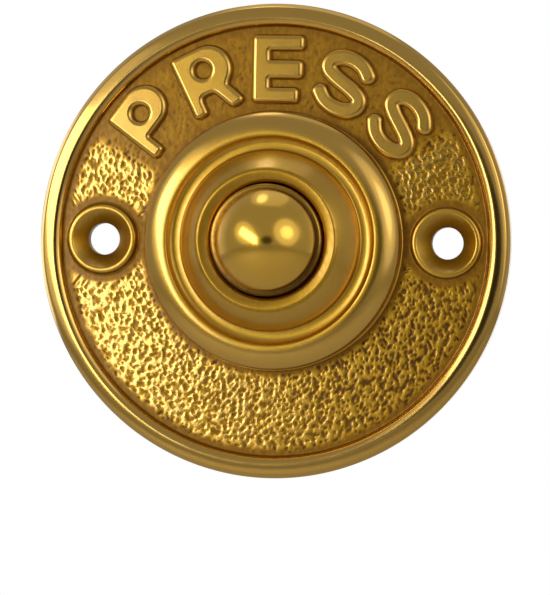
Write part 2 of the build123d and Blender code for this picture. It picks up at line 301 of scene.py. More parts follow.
def plainFinish(name, dark, light, rough, grain, metal=0.0, stretch=(1, 1, 1), relief=0.004):
    material, tree, shader, place = newMaterial(name, Metallic=metal)
    drawn = addNode(tree, "ShaderNodeMapping", {"Vector": place, "Scale": stretch})
    cloud = addNode(tree, "ShaderNodeTexNoise", {
        "Vector": drawn.outputs[0], "Scale": 1 / (grain * mm), "Detail": 4.0})
    tint = addNode(tree, "ShaderNodeMix", {  # 6 and 7 are its two colours
        "Factor": cloud.outputs["Fac"], 6: toLinear(dark), 7: toLinear(light)}, data_type="RGBA")
    gloss = addNode(tree, "ShaderNodeMapRange", {
        "Value": cloud.outputs["Fac"], "To Min": rough * 0.8, "To Max": rough * 1.2})
    bump = addNode(tree, "ShaderNodeBump", {
        "Height": cloud.outputs["Fac"], "Distance": relief * mm, "Strength": 1.0})
    tree.links.new(tint.outputs[2], shader.inputs["Base Color"])
    tree.links.new(gloss.outputs[0], shader.inputs["Roughness"])
    tree.links.new(bump.outputs[0], shader.inputs["Normal"])
    return material


rolled = (0.1, 1, 1)  # rolling marks run along the strips
finishes = {  # a plain finish has two tints, roughness and the grain's size in mm
    "cast_brass": castBrass(),
    "turned_brass": turnedBrass(),
    "nylon": plainFinish("nylon_moulded", "#CFC8B4", "#E2DCCB", 0.45, 1.5),
    "spring_steel": plainFinish("spring_steel_drawn_wire", "#8E8F92", "#B4B5B8", 0.3, 0.3, metal=1.0),
    "phenolic": plainFinish("phenolic_compression_moulded", "#1B1512", "#2E221B", 0.38, 0.8),
    "phosphor_bronze": plainFinish(
        "phosphor_bronze_rolled_strip", "#A86E43", "#C98F5C", 0.3, 0.4, metal=1.0, stretch=rolled),
    "brass_strip": plainFinish(
        "brass_rolled_strip", "#B58C40", "#D2AA5C", 0.28, 0.4, metal=1.0, stretch=rolled),
    "brass_hardware": plainFinish("brass_turned_hardware", "#BC9448", "#DAB468", 0.27, 0.5, metal=1.0),
    "zinc_steel": plainFinish("steel_zinc_plated", "#9A9C9B", "#BFC0BC", 0.34, 0.6, metal=1.0),
}
for part in frame["record"]["subparts"]:
    node = frame["nodes"][part["node"]]
    node.data.materials.clear()
    node.data.materials.append(finishes[part["material_slot"]])
print("materials made:", len(finishes))


# Raised legend: block capitals, each in a frame turned about the plate's centre

letters = dict(
    base=18.6,  # the baseline's distance from the plate's centre
    rise=1.0,  # over the ground
    edge=0.7,  # round along the top edges
    spread=0.15,  # soft foot outside the drawn outline
    root=0.7,  # part that lies inside the plate
    corner=0.62,
    crook=0.2,
    stem=1.9,
    stroke=2.4, curl=(2.87, 3.45), cap=0.75,  # of the curved letter: curl is half its middle line's size
    eye=(3.62, 6.38),
    eyeRadius=1.2,
    film=0.2, footFilm=0.4,  # patina, and more film at the foot: painted shade with patina where the letter meets the ground
)


def circlePath(middle, radius, start=0, end=360, steps=40):
    turns = np.radians(np.linspace(start, end, steps + 1))
    return middle + radius * np.stack([np.cos(turns), np.sin(turns)], 1)


def bowlPath(middle, radius, start):  # from this angle round to the top
    return [tuple(spot) for spot in circlePath(middle, radius, start, 90, 24)]


def letterP():
    corner, crook, stem = letters["corner"], letters["crook"], letters["stem"]
    bowl, foot = bowlPath((4.67, 6.43), 2.93, -90), 0.85
    outline = [(0, foot, corner), (stem, foot, corner), (stem, bowl[0][1], crook)]
    outline += [*bowl, (0, bowl[-1][1], corner)]
    return [roundPath(outline), circlePath(letters["eye"], letters["eyeRadius"])[1:]]


def letterR():
    corner, crook, stem = letters["corner"], letters["crook"], letters["stem"]
    bowl, foot, legTop = bowlPath((4.35, 6.2), 3.2, -50), 0.6, 3.05
    outline = [(0, foot, corner), (stem, foot, corner), (stem, legTop, corner)]
    outline += [(3.77, legTop, corner), (5.27, 0.05, corner), (7.32, 0.3, corner), (6.0, 3.25, crook)]
    outline += [*bowl, (0, bowl[-1][1], corner)]
    return [roundPath(outline), circlePath(letters["eye"], letters["eyeRadius"])[1:]]


def letterE():
    corner, crook = letters["corner"], letters["crook"]
    stem, top = 2.35, 9.1
    arms = [(0.0, 2.05, 6.3), (3.3, 5.75, 6.85), (7.1, top, 7.0)]  # lower edge, upper edge and length
    outline = [(0, 0, corner)]
    for lower, upper, length in arms:
        outline += [(stem, lower, crook)] if lower else []
        outline += [(length, lower, corner), (length, upper, corner)]
        outline += [(stem, upper, crook)] if upper < top else []
    return [roundPath(outline + [(0, top, corner)])]


def letterS():
    middle = np.array((0, 4.51))
    upper = [(0, 0), (-1.5, 0.46), (-2.5, 0.97), (-2.83, 1.72), (-2.5, 2.65), (-1.5, 3.3)]
    upper += [(-0.2, 3.5), (1.1, 3.25), (2.0, 2.7), (2.55, 2.1)]
    knots = np.array([(-x, -y) for x, y in upper[:0:-1]] + upper)  # the lower half mirrors the upper one
    spline = bpy.data.curves.new("stroke", "CURVE")
    line = spline.splines.new("NURBS")
    line.points.add(len(knots) - 1)
    for point, knot in zip(line.points, knots):
        point.co = (*knot, 0, 1)
    line.order_u = 3
    line.use_endpoint_u = True
    line.resolution_u = 8
    carrier = bpy.data.objects.new("stroke", spline)
    mesh = bpy.data.meshes.new_from_object(carrier)
    path = np.array([v.co[:2] for v in mesh.vertices])
    bpy.data.objects.remove(carrier)
    bpy.data.curves.remove(spline)
    bpy.data.meshes.remove(mesh)
    path *= np.array(letters["curl"]) / np.abs(path).max(0)
    ahead = np.gradient(path, axis=0)
    ahead /= np.linalg.norm(ahead, axis=1)[:, None]
    half = letters["stroke"] / 2 - letters["edge"]  # the round edge widens it
    cap = letters["cap"] * half
    side = half * np.stack([-ahead[:, 1], ahead[:, 0]], 1)
    turns = np.linspace(0, math.pi, 11)[1:-1, None]
    lastCap = path[-1] - np.cos(turns) * side[-1] + cap * np.sin(turns) * ahead[-1]
    firstCap = path[0] + np.cos(turns) * side[0] - cap * np.sin(turns) * ahead[0]
    return [middle + np.concatenate([path - side, lastCap, (path + side)[::-1], firstCap])]


# Of each letter: name, outlines, turn in degrees clockwise from the top, shift along the baseline,
# and the inset that its outlines still need for the round edge
inset = letters["edge"] - letters["spread"]
legend = [
    ("first", letterP(), -53.4, -0.97, inset),
    ("second", letterR(), -25.9, -2.62, inset),
    ("third", letterE(), 0.3, -3.29, inset),
    ("fourth", letterS(), 22.8, 0.29, 0.0),
    ("fifth", letterS(), 45.5, 0.47, 0.0),
]


def onPlate(path, turn, shift):  # letter frame to the plate's x and z
    across, out = path[:, 0] + shift, path[:, 1] + letters["base"]
    turn = math.radians(turn)
    x = across * math.cos(turn) + out * math.sin(turn)
    z = out * math.cos(turn) - across * math.sin(turn)
    return np.stack([x, z], 1)


legendEdge = [onPlate(path, turn, shift) for _, paths, turn, shift, _ in legend for path in paths]
legendEdge = np.concatenate(legendEdge)


def makeLetter(name, paths, turn, shift, inset, groundHeight):
    curve = bpy.data.curves.new(name, "CURVE")
    curve.dimensions = "2D"
    curve.fill_mode = "BOTH"
    for path in paths:
        line = curve.splines.new("POLY")
        line.points.add(len(path) - 1)
        for point, spot in zip(line.points, path):
            point.co = (spot[0], spot[1], 0, 1)
        line.use_cyclic_u = True
    thickness = letters["rise"] + letters["root"]
    curve.bevel_depth = letters["edge"]
    curve.bevel_resolution = 5
    curve.offset = -inset
    curve.extrude = thickness / 2 - letters["edge"]
    carrier = bpy.data.objects.new(name + "_curve", curve)
    scene.collection.objects.link(carrier)
    shaped = carrier.evaluated_get(bpy.context.evaluated_depsgraph_get())
    mesh = bpy.data.meshes.new_from_object(shaped)
    bpy.data.objects.remove(carrier)
    bpy.data.curves.remove(curve)
    form = bmesh.new()
    form.from_mesh(mesh)
    bmesh.ops.remove_doubles(form, verts=form.verts, dist=0.0001)
    spots = np.array([v.co for v in form.verts])
    faces = [[v.index for v in face.verts] for face in form.faces]
    form.free()
    bpy.data.meshes.remove(mesh)
    height = groundHeight - letters["root"] + thickness / 2 + spots[:, 2]
    across = onPlate(spots[:, :2], turn, shift)
    points = np.stack([across[:, 0], -height, across[:, 1]], 1)
    # Darker at the foot: painted shade with patina where the letter meets the ground
    nearFoot = 1 - fade(height, groundHeight + 0.05, groundHeight + 0.3)
    film = letters["film"] + letters["footFilm"] * nearFoot
    piece = makePiece("legend_" + name, points, faces, "cast_brass", "plate", patina=film)
    top = height.max() - 0.001
    for face in piece.data.polygons:
        if all(-piece.data.vertices[i].co.y / mm > top for i in face.vertices):
            face.use_smooth = False


# Face plate: one casting with rim, sunk ground, bosses and stepped collar

plate = dict(
    rimCrest=30.1, rimHeight=3.5, rimOuter=31.5, rimOuterDrop=0.8, rimBow=0.21, rimEdge=0.4,
    edgeBreak=0.4, backRound=0.12, sideRound=0.2,
    groundOuter=29.0, groundHeight=2.4, groundBack=0.8, foot=0.22,  # foot: round in the cast corners
    seatInner=28.9, backInner=17.2, backOuter=28.6, innerRound=0.1,
    collarRadius=17.3, collarSide=5.1, collarEdge=0.2, collarCorner=0.28,
    crest=14.5, crestHeight=6.4, crestEdge=14.1, crestRound=0.35,
    grooveOuter=13.0, grooveInner=12.2, grooveHeight=5.7, grooveRound=0.3,
    ringEdge=12.0, ringEdgeHeight=6.6, ringFall=0.93, ringRound=0.25,
    lip=9.4, lipRound=0.6, hole=7.8, lipBevel=0.45, holeRound=0.4,
    throat=9.7, stopHeight=7.7, cavity=15.4, cavityHeight=3.6,
    bossRadius=4.75, bossHeight=3.5, bossDraft=0.1, bossRound=0.34, bossFoot=0.4,
    sink=4.02, sinkRound=0.28, screwBackRound=0.08, screwBackFlat=0.3,
    pillarOffset=12.7, pillarRadius=2.1, pillarHeight=1.9, tapRadius=1.27,
    pillarRoot=0.4,  # part that lies inside the casting
    rings=72, backRings=9,  # across the ground, and across its back
    fine=780, coarse=300, rough=180, bossTurns=144,  # segments round the plate and round a boss
    window=14.0,  # half angle of the sector that a boss takes
    uneven=0.05, unevenSize=7.0,  # left by hand polishing
)
plateFilm = dict(  # film on the plate's parts: patina, with painted shade in the corners
    corner=0.6, collarLess=0.35,  # less in the collar's corner, by this share
    sink=0.52, behind=0.85, hole=0.45, ring=0.3, boss=0.32, collar=0.17,
    step=0.36, coveLess=0.02, crestLess=0.6,
)
stipple = dict(
    seed=11, spacing=0.66, jitter=0.55, radius=0.175, depth=0.072,
    stretch=1.7, lean=78.0, spread=45.0,  # pits are longer than wide and lean about this way
    landSize=0.75, landRise=0.01, smoothShare=0.08,
    margin=0.72, ragged=0.5, raggedSize=0.9,  # smooth border along the edges, with an uneven end
    letterFrom=0.4, letterTo=1.2,  # border round the letters
    legendFrom=-61.0, legendTo=57.0, legendShare=0.2,  # the word's sector is nearly smooth
    legendOutside=5.0, legendInside=3.0,  # degrees over which that sector ends
    film=0.62, pitFilm=0.55, landFilm=0.05,  # patina on smooth ground, in pits and on lands
    footFilm=0.06, footReach=1.8,  # more film, so darker, near where the ground meets rim, collar and bosses
    dullMiddle=128.0, dullReach=55.0, dullFilm=0.32,  # a sector darkened with film as a painted dark reflection
)


def groundForm(x, z):  # depth of the punched ground, its film of patina with a painted dark reflection, and where it is punched
    s = stipple
    away = np.hypot(x, z)
    fromTop = np.degrees(np.arctan2(x, z))
    fromBoss = np.hypot(np.abs(x) - screwOffset, z) - plate["bossRadius"]
    fromFoot = np.minimum(plate["groundOuter"] - away, away - plate["collarRadius"])
    fromFoot = np.minimum(fromFoot, fromBoss)
    fromLegend = np.full(len(x), 9.0)  # as good as far away
    for part in np.array_split(np.arange(len(legendEdge)), 40):
        gaps = np.hypot(x[:, None] - legendEdge[part, 0], z[:, None] - legendEdge[part, 1])
        fromLegend = np.minimum(fromLegend, gaps.min(1))
    outside, inside = s["legendOutside"], s["legendInside"]
    inLegend = fade(fromTop, s["legendFrom"] - outside, s["legendFrom"] + inside)
    inLegend *= 1 - fade(fromTop, s["legendTo"] - inside, s["legendTo"] + outside)
    spots = np.stack([x, np.zeros_like(x), z], 1)
    border = fromFoot + s["ragged"] * ripple(spots, s["raggedSize"], 8)
    punched = fade(border, s["margin"] * 0.2, s["margin"] * 2.5)
    punched *= fade(fromLegend, s["letterFrom"], s["letterTo"])
    punched *= fade(fromFoot, 0.1, s["margin"] * 0.5)
    punched *= fade(fromBoss, s["margin"] * 0.5, s["margin"] * 2.5)
    punched *= 1 - (1 - s["legendShare"]) * inLegend
    random = np.random.default_rng(s["seed"])
    step = s["spacing"]
    rows = np.arange(-plateRadius, plateRadius, step * math.sqrt(0.75))
    depth = np.zeros(len(x))
    for i, row in enumerate(rows):
        for column in np.arange(-plateRadius, plateRadius, step) + step * 0.5 * (i % 2):
            spotX, spotZ = np.array((column, row)) + step * random.uniform(-s["jitter"], s["jitter"], 2)
            size = s["radius"] * random.uniform(0.55, 1.45)
            strength = random.uniform(0.3, 1.15)
            lean = math.radians(s["lean"] + random.uniform(-s["spread"], s["spread"]))
            length = random.uniform(1.0, 2 * s["stretch"] - 1)
            if not plate["collarRadius"] < math.hypot(spotX, spotZ) < plate["groundOuter"]:
                continue
            near = np.flatnonzero((np.abs(x - spotX) < 3 * size) & (np.abs(z - spotZ) < 3 * size))
            offX, offZ = x[near] - spotX, z[near] - spotZ
            along = (offX * math.cos(lean) + offZ * math.sin(lean)) / length
            reach = np.hypot(along, offZ * math.cos(lean) - offX * math.sin(lean)) / size
            depth[near] = np.maximum(depth[near], strength * np.exp(-reach ** 2.8))
    depth *= punched
    rough = s["smoothShare"] + (1 - s["smoothShare"]) * punched
    lands = s["landRise"] * ripple(spots, s["landSize"], 5) * rough
    worn = fade(punched, 0.1, 1.0)
    film = s["film"] + (s["landFilm"] - s["film"]) * worn + s["pitFilm"] * fade(depth, 0.05, 0.45)
    film += s["footFilm"] * (1 - fade(fromFoot, 0, s["footReach"]))
    # Painted dark reflection: more film, darker and duller, over one sector of the punched ground
    fromPaintedDark = (fromTop - s["dullMiddle"] + 180) % 360 - 180
    film += s["dullFilm"] * worn * np.exp(-(fromPaintedDark / s["dullReach"]) ** 2)
    return s["depth"] * depth - lands, np.clip(film, 0, 1), punched


def platePath():  # rim, then collar to throat, both run inwards over the front
    p = plate
    side = (plateRadius, p["rimHeight"] - p["rimOuterDrop"])
    bow = (p["rimOuter"], p["rimHeight"] - p["rimBow"])
    crest = (p["rimCrest"], p["rimHeight"])
    outer = arcPath(crest, (1, 0), bow, 8)[-2::-1]
    inner = arcPath(crest, (-1, 0), (p["groundOuter"], p["groundHeight"]), 5)
    rim = [(p["seatInner"], 0), (plateRadius - p["edgeBreak"], 0, p["backRound"])]
    rim += [(plateRadius, p["edgeBreak"], p["sideRound"]), (*side, p["sideRound"])]
    rim += [(*bow, p["rimEdge"]), *map(tuple, outer), *map(tuple, inner[1:-1])]
    rim += [(p["groundOuter"], p["groundHeight"], p["foot"])]
    rim += [(p["groundOuter"] - p["foot"], p["groundHeight"])]
    edge = (p["crestEdge"], p["crestHeight"])
    side = (p["collarRadius"], p["collarSide"])
    collarRound = arcPath((p["crest"], p["crestHeight"]), (1, 0), side, 14)[-2::-1]
    cove = arcPath((p["grooveOuter"], p["grooveHeight"]), (1, 0), edge, 6)[-2::-1]
    shoulder = (p["ringEdge"], p["ringEdgeHeight"])
    ringTop = arcPath((p["lip"], lipHeight), (1, -p["ringFall"]), shoulder, 8)[-2:0:-1]
    collar = [(p["collarRadius"] + p["collarCorner"], p["groundHeight"])]
    collar += [(p["collarRadius"], p["groundHeight"], p["collarCorner"])]
    collar += [(*side, p["collarEdge"]), *map(tuple, collarRound), (*edge, p["crestRound"])]
    collar += [*map(tuple, cove), (p["grooveInner"], p["grooveHeight"], p["grooveRound"])]
    collar += [(*shoulder, p["ringRound"]), *map(tuple, ringTop), (p["lip"], lipHeight, p["lipRound"])]
    collar += [(p["hole"] + p["lipBevel"], lipHeight - p["lipBevel"] / 2)]
    collar += [(p["hole"], lipHeight - p["lipBevel"], p["holeRound"])]
    collar += [(p["hole"], p["stopHeight"], p["innerRound"]), (p["throat"], p["stopHeight"])]
    collar += [(p["throat"], p["cavityHeight"], p["innerRound"]), (p["cavity"], p["cavityHeight"])]
    collar += [(p["cavity"], p["groundBack"], p["innerRound"]), (p["cavity"] + 0.5, p["groundBack"])]
    return roundPath(rim)[:-1], roundPath(collar)


def holedBand(skin, radii, height, segments):  # a flat band with a window for each boss
    turns = 360 / segments * (np.arange(segments) + 0.5)
    rings = [skin.circle(radius, height, segments) for radius in radii]
    fromBosses = [np.abs((turns - middle + 180) % 360 - 180) for middle in (0, 180)]
    windows = [np.flatnonzero(fromBoss < plate["window"]) for fromBoss in fromBosses]
    skip = set(np.concatenate(windows))
    for ringA, ringB in zip(rings, rings[1:]):
        skin.join(ringA, ringB, skip=skip)
    loops = []
    for centreX, window in zip((screwOffset, -screwOffset), windows):
        window = sorted(window, key=lambda k: (k + segments / 2) % segments if centreX > 0 else k)
        columns = [*window, (window[-1] + 1) % segments]
        loop = {rings[i][k] for i in (0, -1) for k in columns}
        loop |= {ring[k] for ring in rings for k in (columns[0], columns[-1])}
        loops.append(sorted(loop, key=lambda i: skin.turnsOf([i], centreX)[0]))
    return rings, loops


def screwBoss(skin, centreX, frontLoop, backLoop):
    p = plate
    foot, top = p["groundHeight"], p["bossHeight"]
    bottom = top - (p["sink"] - screwRadius)  # a right-angled countersink
    profile = roundPath([
        (p["bossRadius"] + p["bossFoot"], foot), (p["bossRadius"], foot, p["bossFoot"]),
        (p["bossRadius"] - p["bossDraft"], top, p["bossRound"]),
        (p["sink"], top, p["sinkRound"]), (screwRadius, bottom, p["innerRound"]),
        (screwRadius, 0, p["screwBackRound"]), (screwRadius + p["screwBackFlat"], 0),
    ])
    turns = skin.turnsOf(frontLoop, centreX)
    border = np.array([skin.points[i] for i in frontLoop])
    footRadius = profile[0][0]
    x, z = centreX + footRadius * np.cos(turns), footRadius * np.sin(turns)
    circle = np.stack([x, border[:, 1], z], 1)
    last = frontLoop
    for share in np.linspace(0, 1, 7)[1:-1]:
        ring = skin.ring(border + share * (circle - border))
        skin.join(last, ring)
        last = ring
    turns = 2 * math.pi * (np.arange(p["bossTurns"]) + 0.5) / p["bossTurns"] - math.pi
    for radius, height in profile:
        ring = skin.circle(radius, height, turns, centreX)
        skin.join(last, ring, centreX)
        last = ring
    turns = skin.turnsOf(backLoop, centreX)
    for height in (0, p["groundBack"]):
        ring = skin.circle(p["bossRadius"], height, turns, centreX)
        skin.join(last, ring, centreX)
        last = ring
    skin.join(last, backLoop)


def pillar(skin, side):  # stands in the cavity and takes a base screw
    p = plate
    root, offset = p["pillarRoot"], side * p["pillarOffset"]
    wall = p["cavity"] + root
    turns = np.linspace(-math.pi, 0, 25)
    x, z = p["pillarRadius"] * np.cos(turns), p["pillarOffset"] + p["pillarRadius"] * np.sin(turns)
    x, z = np.append(x, (p["pillarRadius"], -p["pillarRadius"])), np.append(z, (wall, wall))
    x, z = x * side, z * side
    hole = np.arctan2(z - offset, x)
    tapX, tapZ = p["tapRadius"] * np.cos(hole), offset + p["tapRadius"] * np.sin(hole)
    front, back = p["cavityHeight"] + root, p["pillarHeight"]
    rings = [skin.ring(np.stack([x, np.full_like(x, -h), z], 1)) for h in (front, back)]
    rings += [skin.ring(np.stack([tapX, np.full_like(x, -h), tapZ], 1)) for h in (back, front - root)]
    skin.close(rings[0], (0, -front, offset), True)
    for ringA, ringB in zip(rings, rings[1:]):
        skin.join(ringB, ringA)
    skin.close(rings[-1], (0, -front + root, offset), False)


def filmOn(points, groundFilm):  # patina with painted shade in the corners, patina in the sinks and behind
    p, f = plate, plateFilm
    away, height = np.hypot(points[:, 0], points[:, 2]), -points[:, 1]
    fromScrew = np.hypot(np.abs(points[:, 0]) - screwOffset, points[:, 2])
    ground = p["groundHeight"]
    onCollar = away < p["collarRadius"] + 0.5
    # Where walls meet the ground: painted shade with patina
    corner = 1 - fade(height, ground + 0.05, ground + 0.55)
    corner *= (away < p["groundOuter"] + 0.3) * (height > ground + 1e-6)
    corner *= 1 - f["collarLess"] * (away < p["collarRadius"] + 0.6)
    behind = (height < p["groundBack"] + 0.01) * (away < plateRadius - 0.5)
    inHole = (away < p["lip"] + 0.3) * (height > p["stopHeight"] - 0.1)
    inHole = inHole * fade(away, p["hole"], p["hole"] + 0.2)
    onRing = (away < p["grooveInner"]) * (height > p["grooveHeight"])
    onStep = (height > p["grooveHeight"] - 0.1) * fade(away, p["ringEdge"] - 0.2, p["grooveInner"])
    onStep *= f["step"] - f["coveLess"] * fade(away, p["grooveOuter"], p["crestEdge"])
    onStep *= 1 - f["crestLess"] * fade(away, p["crest"] - 0.1, p["crest"] + 0.5)
    films = [groundFilm, f["corner"] * corner, f["sink"] * (fromScrew < p["sink"] - 0.15)]
    films += [f["behind"] * behind, f["hole"] * inHole, f["ring"] * onRing, onStep * onCollar]
    films += [f["boss"] * (fromScrew < p["bossRadius"]), f["collar"] * onCollar]
    return np.maximum.reduce(films)


def facePlate():
    p = plate
    skin = Skin()
    rim, collar = platePath()
    rimRings = skin.lathe(rim, p["coarse"])
    innerEdge = p["collarRadius"] + p["collarCorner"] + 0.05
    radii = np.linspace(p["groundOuter"] - p["foot"], innerEdge, p["rings"])
    groundRings, frontLoops = holedBand(skin, radii, p["groundHeight"], p["fine"])
    collarRings = skin.lathe(collar, p["coarse"])
    radii = np.linspace(p["backInner"], p["backOuter"], p["backRings"])
    backRings, backLoops = holedBand(skin, radii, p["groundBack"], p["rough"])
    lastRing = skin.circle(p["seatInner"], p["groundBack"], p["coarse"])
    skin.join(rimRings[-1], groundRings[0])
    skin.join(groundRings[-1], collarRings[0])
    skin.join(collarRings[-1], backRings[0])
    skin.join(backRings[-1], lastRing)
    skin.join(lastRing, rimRings[0])
    for centreX, frontLoop, backLoop in zip((screwOffset, -screwOffset), frontLoops, backLoops):
        screwBoss(skin, centreX, frontLoop, backLoop)
    for side in (-1, 1):
        pillar(skin, side)
    points = np.array(skin.points)
    away, height = np.hypot(points[:, 0], points[:, 2]), -points[:, 1]
    onGround = np.abs(height - p["groundHeight"]) < 1e-6
    film, grain, uneven = np.zeros((3, len(points)))
    sunk, film[onGround], grain[onGround] = groundForm(points[onGround, 0], points[onGround, 2])
    film = filmOn(points, film)
    # Hand polishing leaves the bead and the collar a little uneven
    front = height > p["groundHeight"] + 0.3
    uneven[front] = 0.5 + 0.5 * ripple(points[front] * (1, 0.3, 1), p["unevenSize"], 3)
    points[:, 1] += p["uneven"] * uneven * (away > p["lip"])
    points[:, [0, 2]] *= (1 - p["uneven"] * uneven / np.maximum(away, 1))[:, None]
    points[onGround, 1] += sunk
    piece = makePiece("brass_plate", points, skin.faces, "cast_brass", "plate", patina=film, grain=grain)
    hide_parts("face_plate")


facePlate()
for letter in legend:
    makeLetter(*letter, plate["groundHeight"])
print("plate and legend made")


# Push button: turned, with a dome that stands out of the collar

button = dict(
    stem=2.2, bore=1.12, boreDepth=2.2, guide=6.4, guideHeight=0.8,
    flangeBack=6.3, stopHeight=7.7, body=7.5, shoulder=10.0, shoulderRound=0.35,
    edgeRound=0.15, innerRound=0.1, domeCorner=0.12,
    dome=6.7, domeFoot=10.4, crown=5.0, flankFoot=11.0,  # the flank falls straighter than the crown
    domeRings=80, flankRings=12, segments=240,
    shoulderFilm=0.4, lowFilm=0.35, cornerFilm=0.95,  # patina on the shoulder; painted shade on its lower side and in the corner at the dome's foot
)


def pushButton():
    b = button
    low, high = boxOf("push_button")
    tipHeight, stemEnd, flange = -low[1], -high[1], high[0]
    dome = arcPath((0, tipHeight), (1, 0), (b["dome"], b["domeFoot"]), b["domeRings"])
    crown = dome[dome[:, 0] < b["crown"]]
    flank = arcPath(crown[-1], crown[-1] - crown[-2], (b["dome"], b["flankFoot"]), b["flankRings"])
    dome = np.concatenate([crown[:-1], flank])[::-1]
    guideBack = b["flangeBack"] - b["guideHeight"]
    path = [(b["bore"], stemEnd + b["boreDepth"]), (b["bore"], stemEnd, b["innerRound"])]
    path += [(b["stem"], stemEnd, b["edgeRound"]), (b["stem"], guideBack)]
    path += [(b["guide"], guideBack, b["innerRound"]), (b["guide"], b["flangeBack"])]
    path += [(flange, b["flangeBack"], b["edgeRound"]), (flange, b["stopHeight"], b["edgeRound"])]
    path += [(b["body"], b["stopHeight"]), (b["body"], b["shoulder"], b["shoulderRound"])]
    path += [(b["dome"], b["shoulder"], b["domeCorner"]), *map(tuple, dome[:-1])]
    skin = Skin()
    rings = skin.lathe(roundPath(path), b["segments"])
    skin.close(rings[0], (0, -stemEnd - b["boreDepth"], 0), False)
    skin.close(rings[-1], (0, -tipHeight, 0), True)
    points = np.array(skin.points)
    away, height = np.hypot(points[:, 0], points[:, 2]), -points[:, 1]
    underDome = height < b["flankFoot"] - 0.02
    onShoulder = underDome * (height > b["shoulder"] - 0.5) * (away > b["dome"] - 0.1)
    # Painted shade: darker on the shoulder's lower side and in the corner at the dome's foot
    shadedUnderside = fade(-points[:, 2] / np.maximum(away, 1), -0.1, 0.8)
    shadedCorner = underDome * (height > b["shoulder"] - 0.1)
    shadedCorner = shadedCorner * (1 - fade(away, b["dome"], b["dome"] + 0.35))
    film = (b["shoulderFilm"] + b["lowFilm"] * shadedUnderside) * onShoulder
    film = np.maximum(film, b["cornerFilm"] * shadedCorner)
    piece = makePiece("brass_button", points, skin.faces, "turned_brass", "button", patina=film)
    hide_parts("push_button")


pushButton()
print("button made")


# Return spring: coil between the base's seat and the button's flange

spring = dict(mean=7.0, wire=0.3, turns=3.5, sides=10, steps=40)


def returnSpring():
    s = spring
    low, high = boxOf("return_spring")
    seat, top = -high[1], -low[1]
    turns = np.linspace(0, 2 * math.pi * s["turns"], int(s["steps"] * s["turns"]) + 1)
    heights = np.linspace(seat + s["wire"], top - s["wire"], len(turns))
    around = 2 * math.pi * np.arange(s["sides"]) / s["sides"]
    radius = s["mean"] + s["wire"] * np.cos(around)
    skin = Skin()
    rings = []
    for turn, height in zip(turns, heights):
        y = -(height + s["wire"] * np.sin(around))
        rings.append(skin.ring(np.stack([radius * math.cos(turn), y, radius * math.sin(turn)], 1)))
    for ringA, ringB in zip(rings, rings[1:]):
        skin.join(ringB, ringA)
    for end in (0, -1):
        middle = np.mean([skin.points[i] for i in rings[end]], axis=0)
        skin.close(rings[end], middle, end == 0)
    piece = makePiece("coil_spring", skin.points, skin.faces, "spring_steel", "plate")
    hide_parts("return_spring")
    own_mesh(piece)


returnSpring()


# Spring contact: the leaf is cut across between its clamp and the stem's tip, which pushes it

leaf = dict(bendStart=-6.6, bendEnd=-1.2, cuts=14)


def springContact():
    node = frame["nodes"]["spring_contact"]
    form = bmesh.new()
    form.from_mesh(node.data)
    bmesh.ops.remove_doubles(form, verts=form.verts, dist=1e-6)
    bendStart, bendEnd = leaf["bendStart"] * mm, leaf["bendEnd"] * mm
    for cut in np.linspace(bendStart, bendEnd, leaf["cuts"]):
        parts = form.verts[:] + form.edges[:] + form.faces[:]
        bmesh.ops.bisect_plane(form, geom=parts, plane_co=(cut, 0, 0), plane_no=(1, 0, 0))
    mesh = bpy.data.meshes.new("bronze_leaf")
    form.to_mesh(mesh)
    form.free()
    mesh.materials.clear()
    mesh.materials.append(finishes["phosphor_bronze"])
    piece = bpy.data.objects.new("bronze_leaf", mesh)
    scene.collection.objects.link(piece)
    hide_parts("spring_contact")
    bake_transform(piece)


springContact()
print("spring and contact leaf made")


# Camera: a little to the right of the plate's axis, the plate above the picture's middle

photo = dict(width=550, height=595, plateX=275.2, plateY=241.2, pixelsPerMm=7.39)
view = dict(distance=450.0, right=8.5, below=1.0, roll=0.93, sensor=36.0, aimHeight=1.0)


def towards(right, above):  # a direction out from the wall, in degrees to the right and up
    right, above = math.radians(right), math.radians(above)
    return Vector((math.sin(right) * math.cos(above), -math.cos(right) * math.cos(above), math.sin(above)))


def makeCamera():
    focal = photo["pixelsPerMm"] * view["distance"]  # in pixels
    out = towards(view["right"], -view["below"])
    level = (-out).cross(Vector((0, 0, 1))).normalized()
    upright = level.cross(-out)
    roll = math.radians(view["roll"])
    rightward = level * math.cos(roll) + upright * math.sin(roll)
    upward = upright * math.cos(roll) - level * math.sin(roll)
    aside = (photo["plateX"] - photo["width"] / 2) / focal
    above = (photo["height"] / 2 - photo["plateY"]) / focal
    ahead = (-out - aside * rightward - above * upward).normalized()
    rightward = ahead.cross(upward).normalized()
    upward = rightward.cross(ahead)
    camera = bpy.data.objects.new("camera", bpy.data.cameras.new("camera"))
    camera.data.sensor_width = view["sensor"]
    camera.data.lens = focal * view["sensor"] / photo["height"]
    camera.data.clip_start, camera.data.clip_end = 0.01, 20
    turned = Matrix((rightward, upward, -ahead)).transposed()
    aim = Vector((0, -view["aimHeight"] * mm, 0))
    place = Matrix.Translation(out * view["distance"] * mm + aim)
    camera.matrix_world = place @ turned.to_4x4()
    scene.collection.objects.link(camera)
    scene.camera = camera


makeCamera()


# Studio: soft boxes round the camera, a pale floor, white paper behind

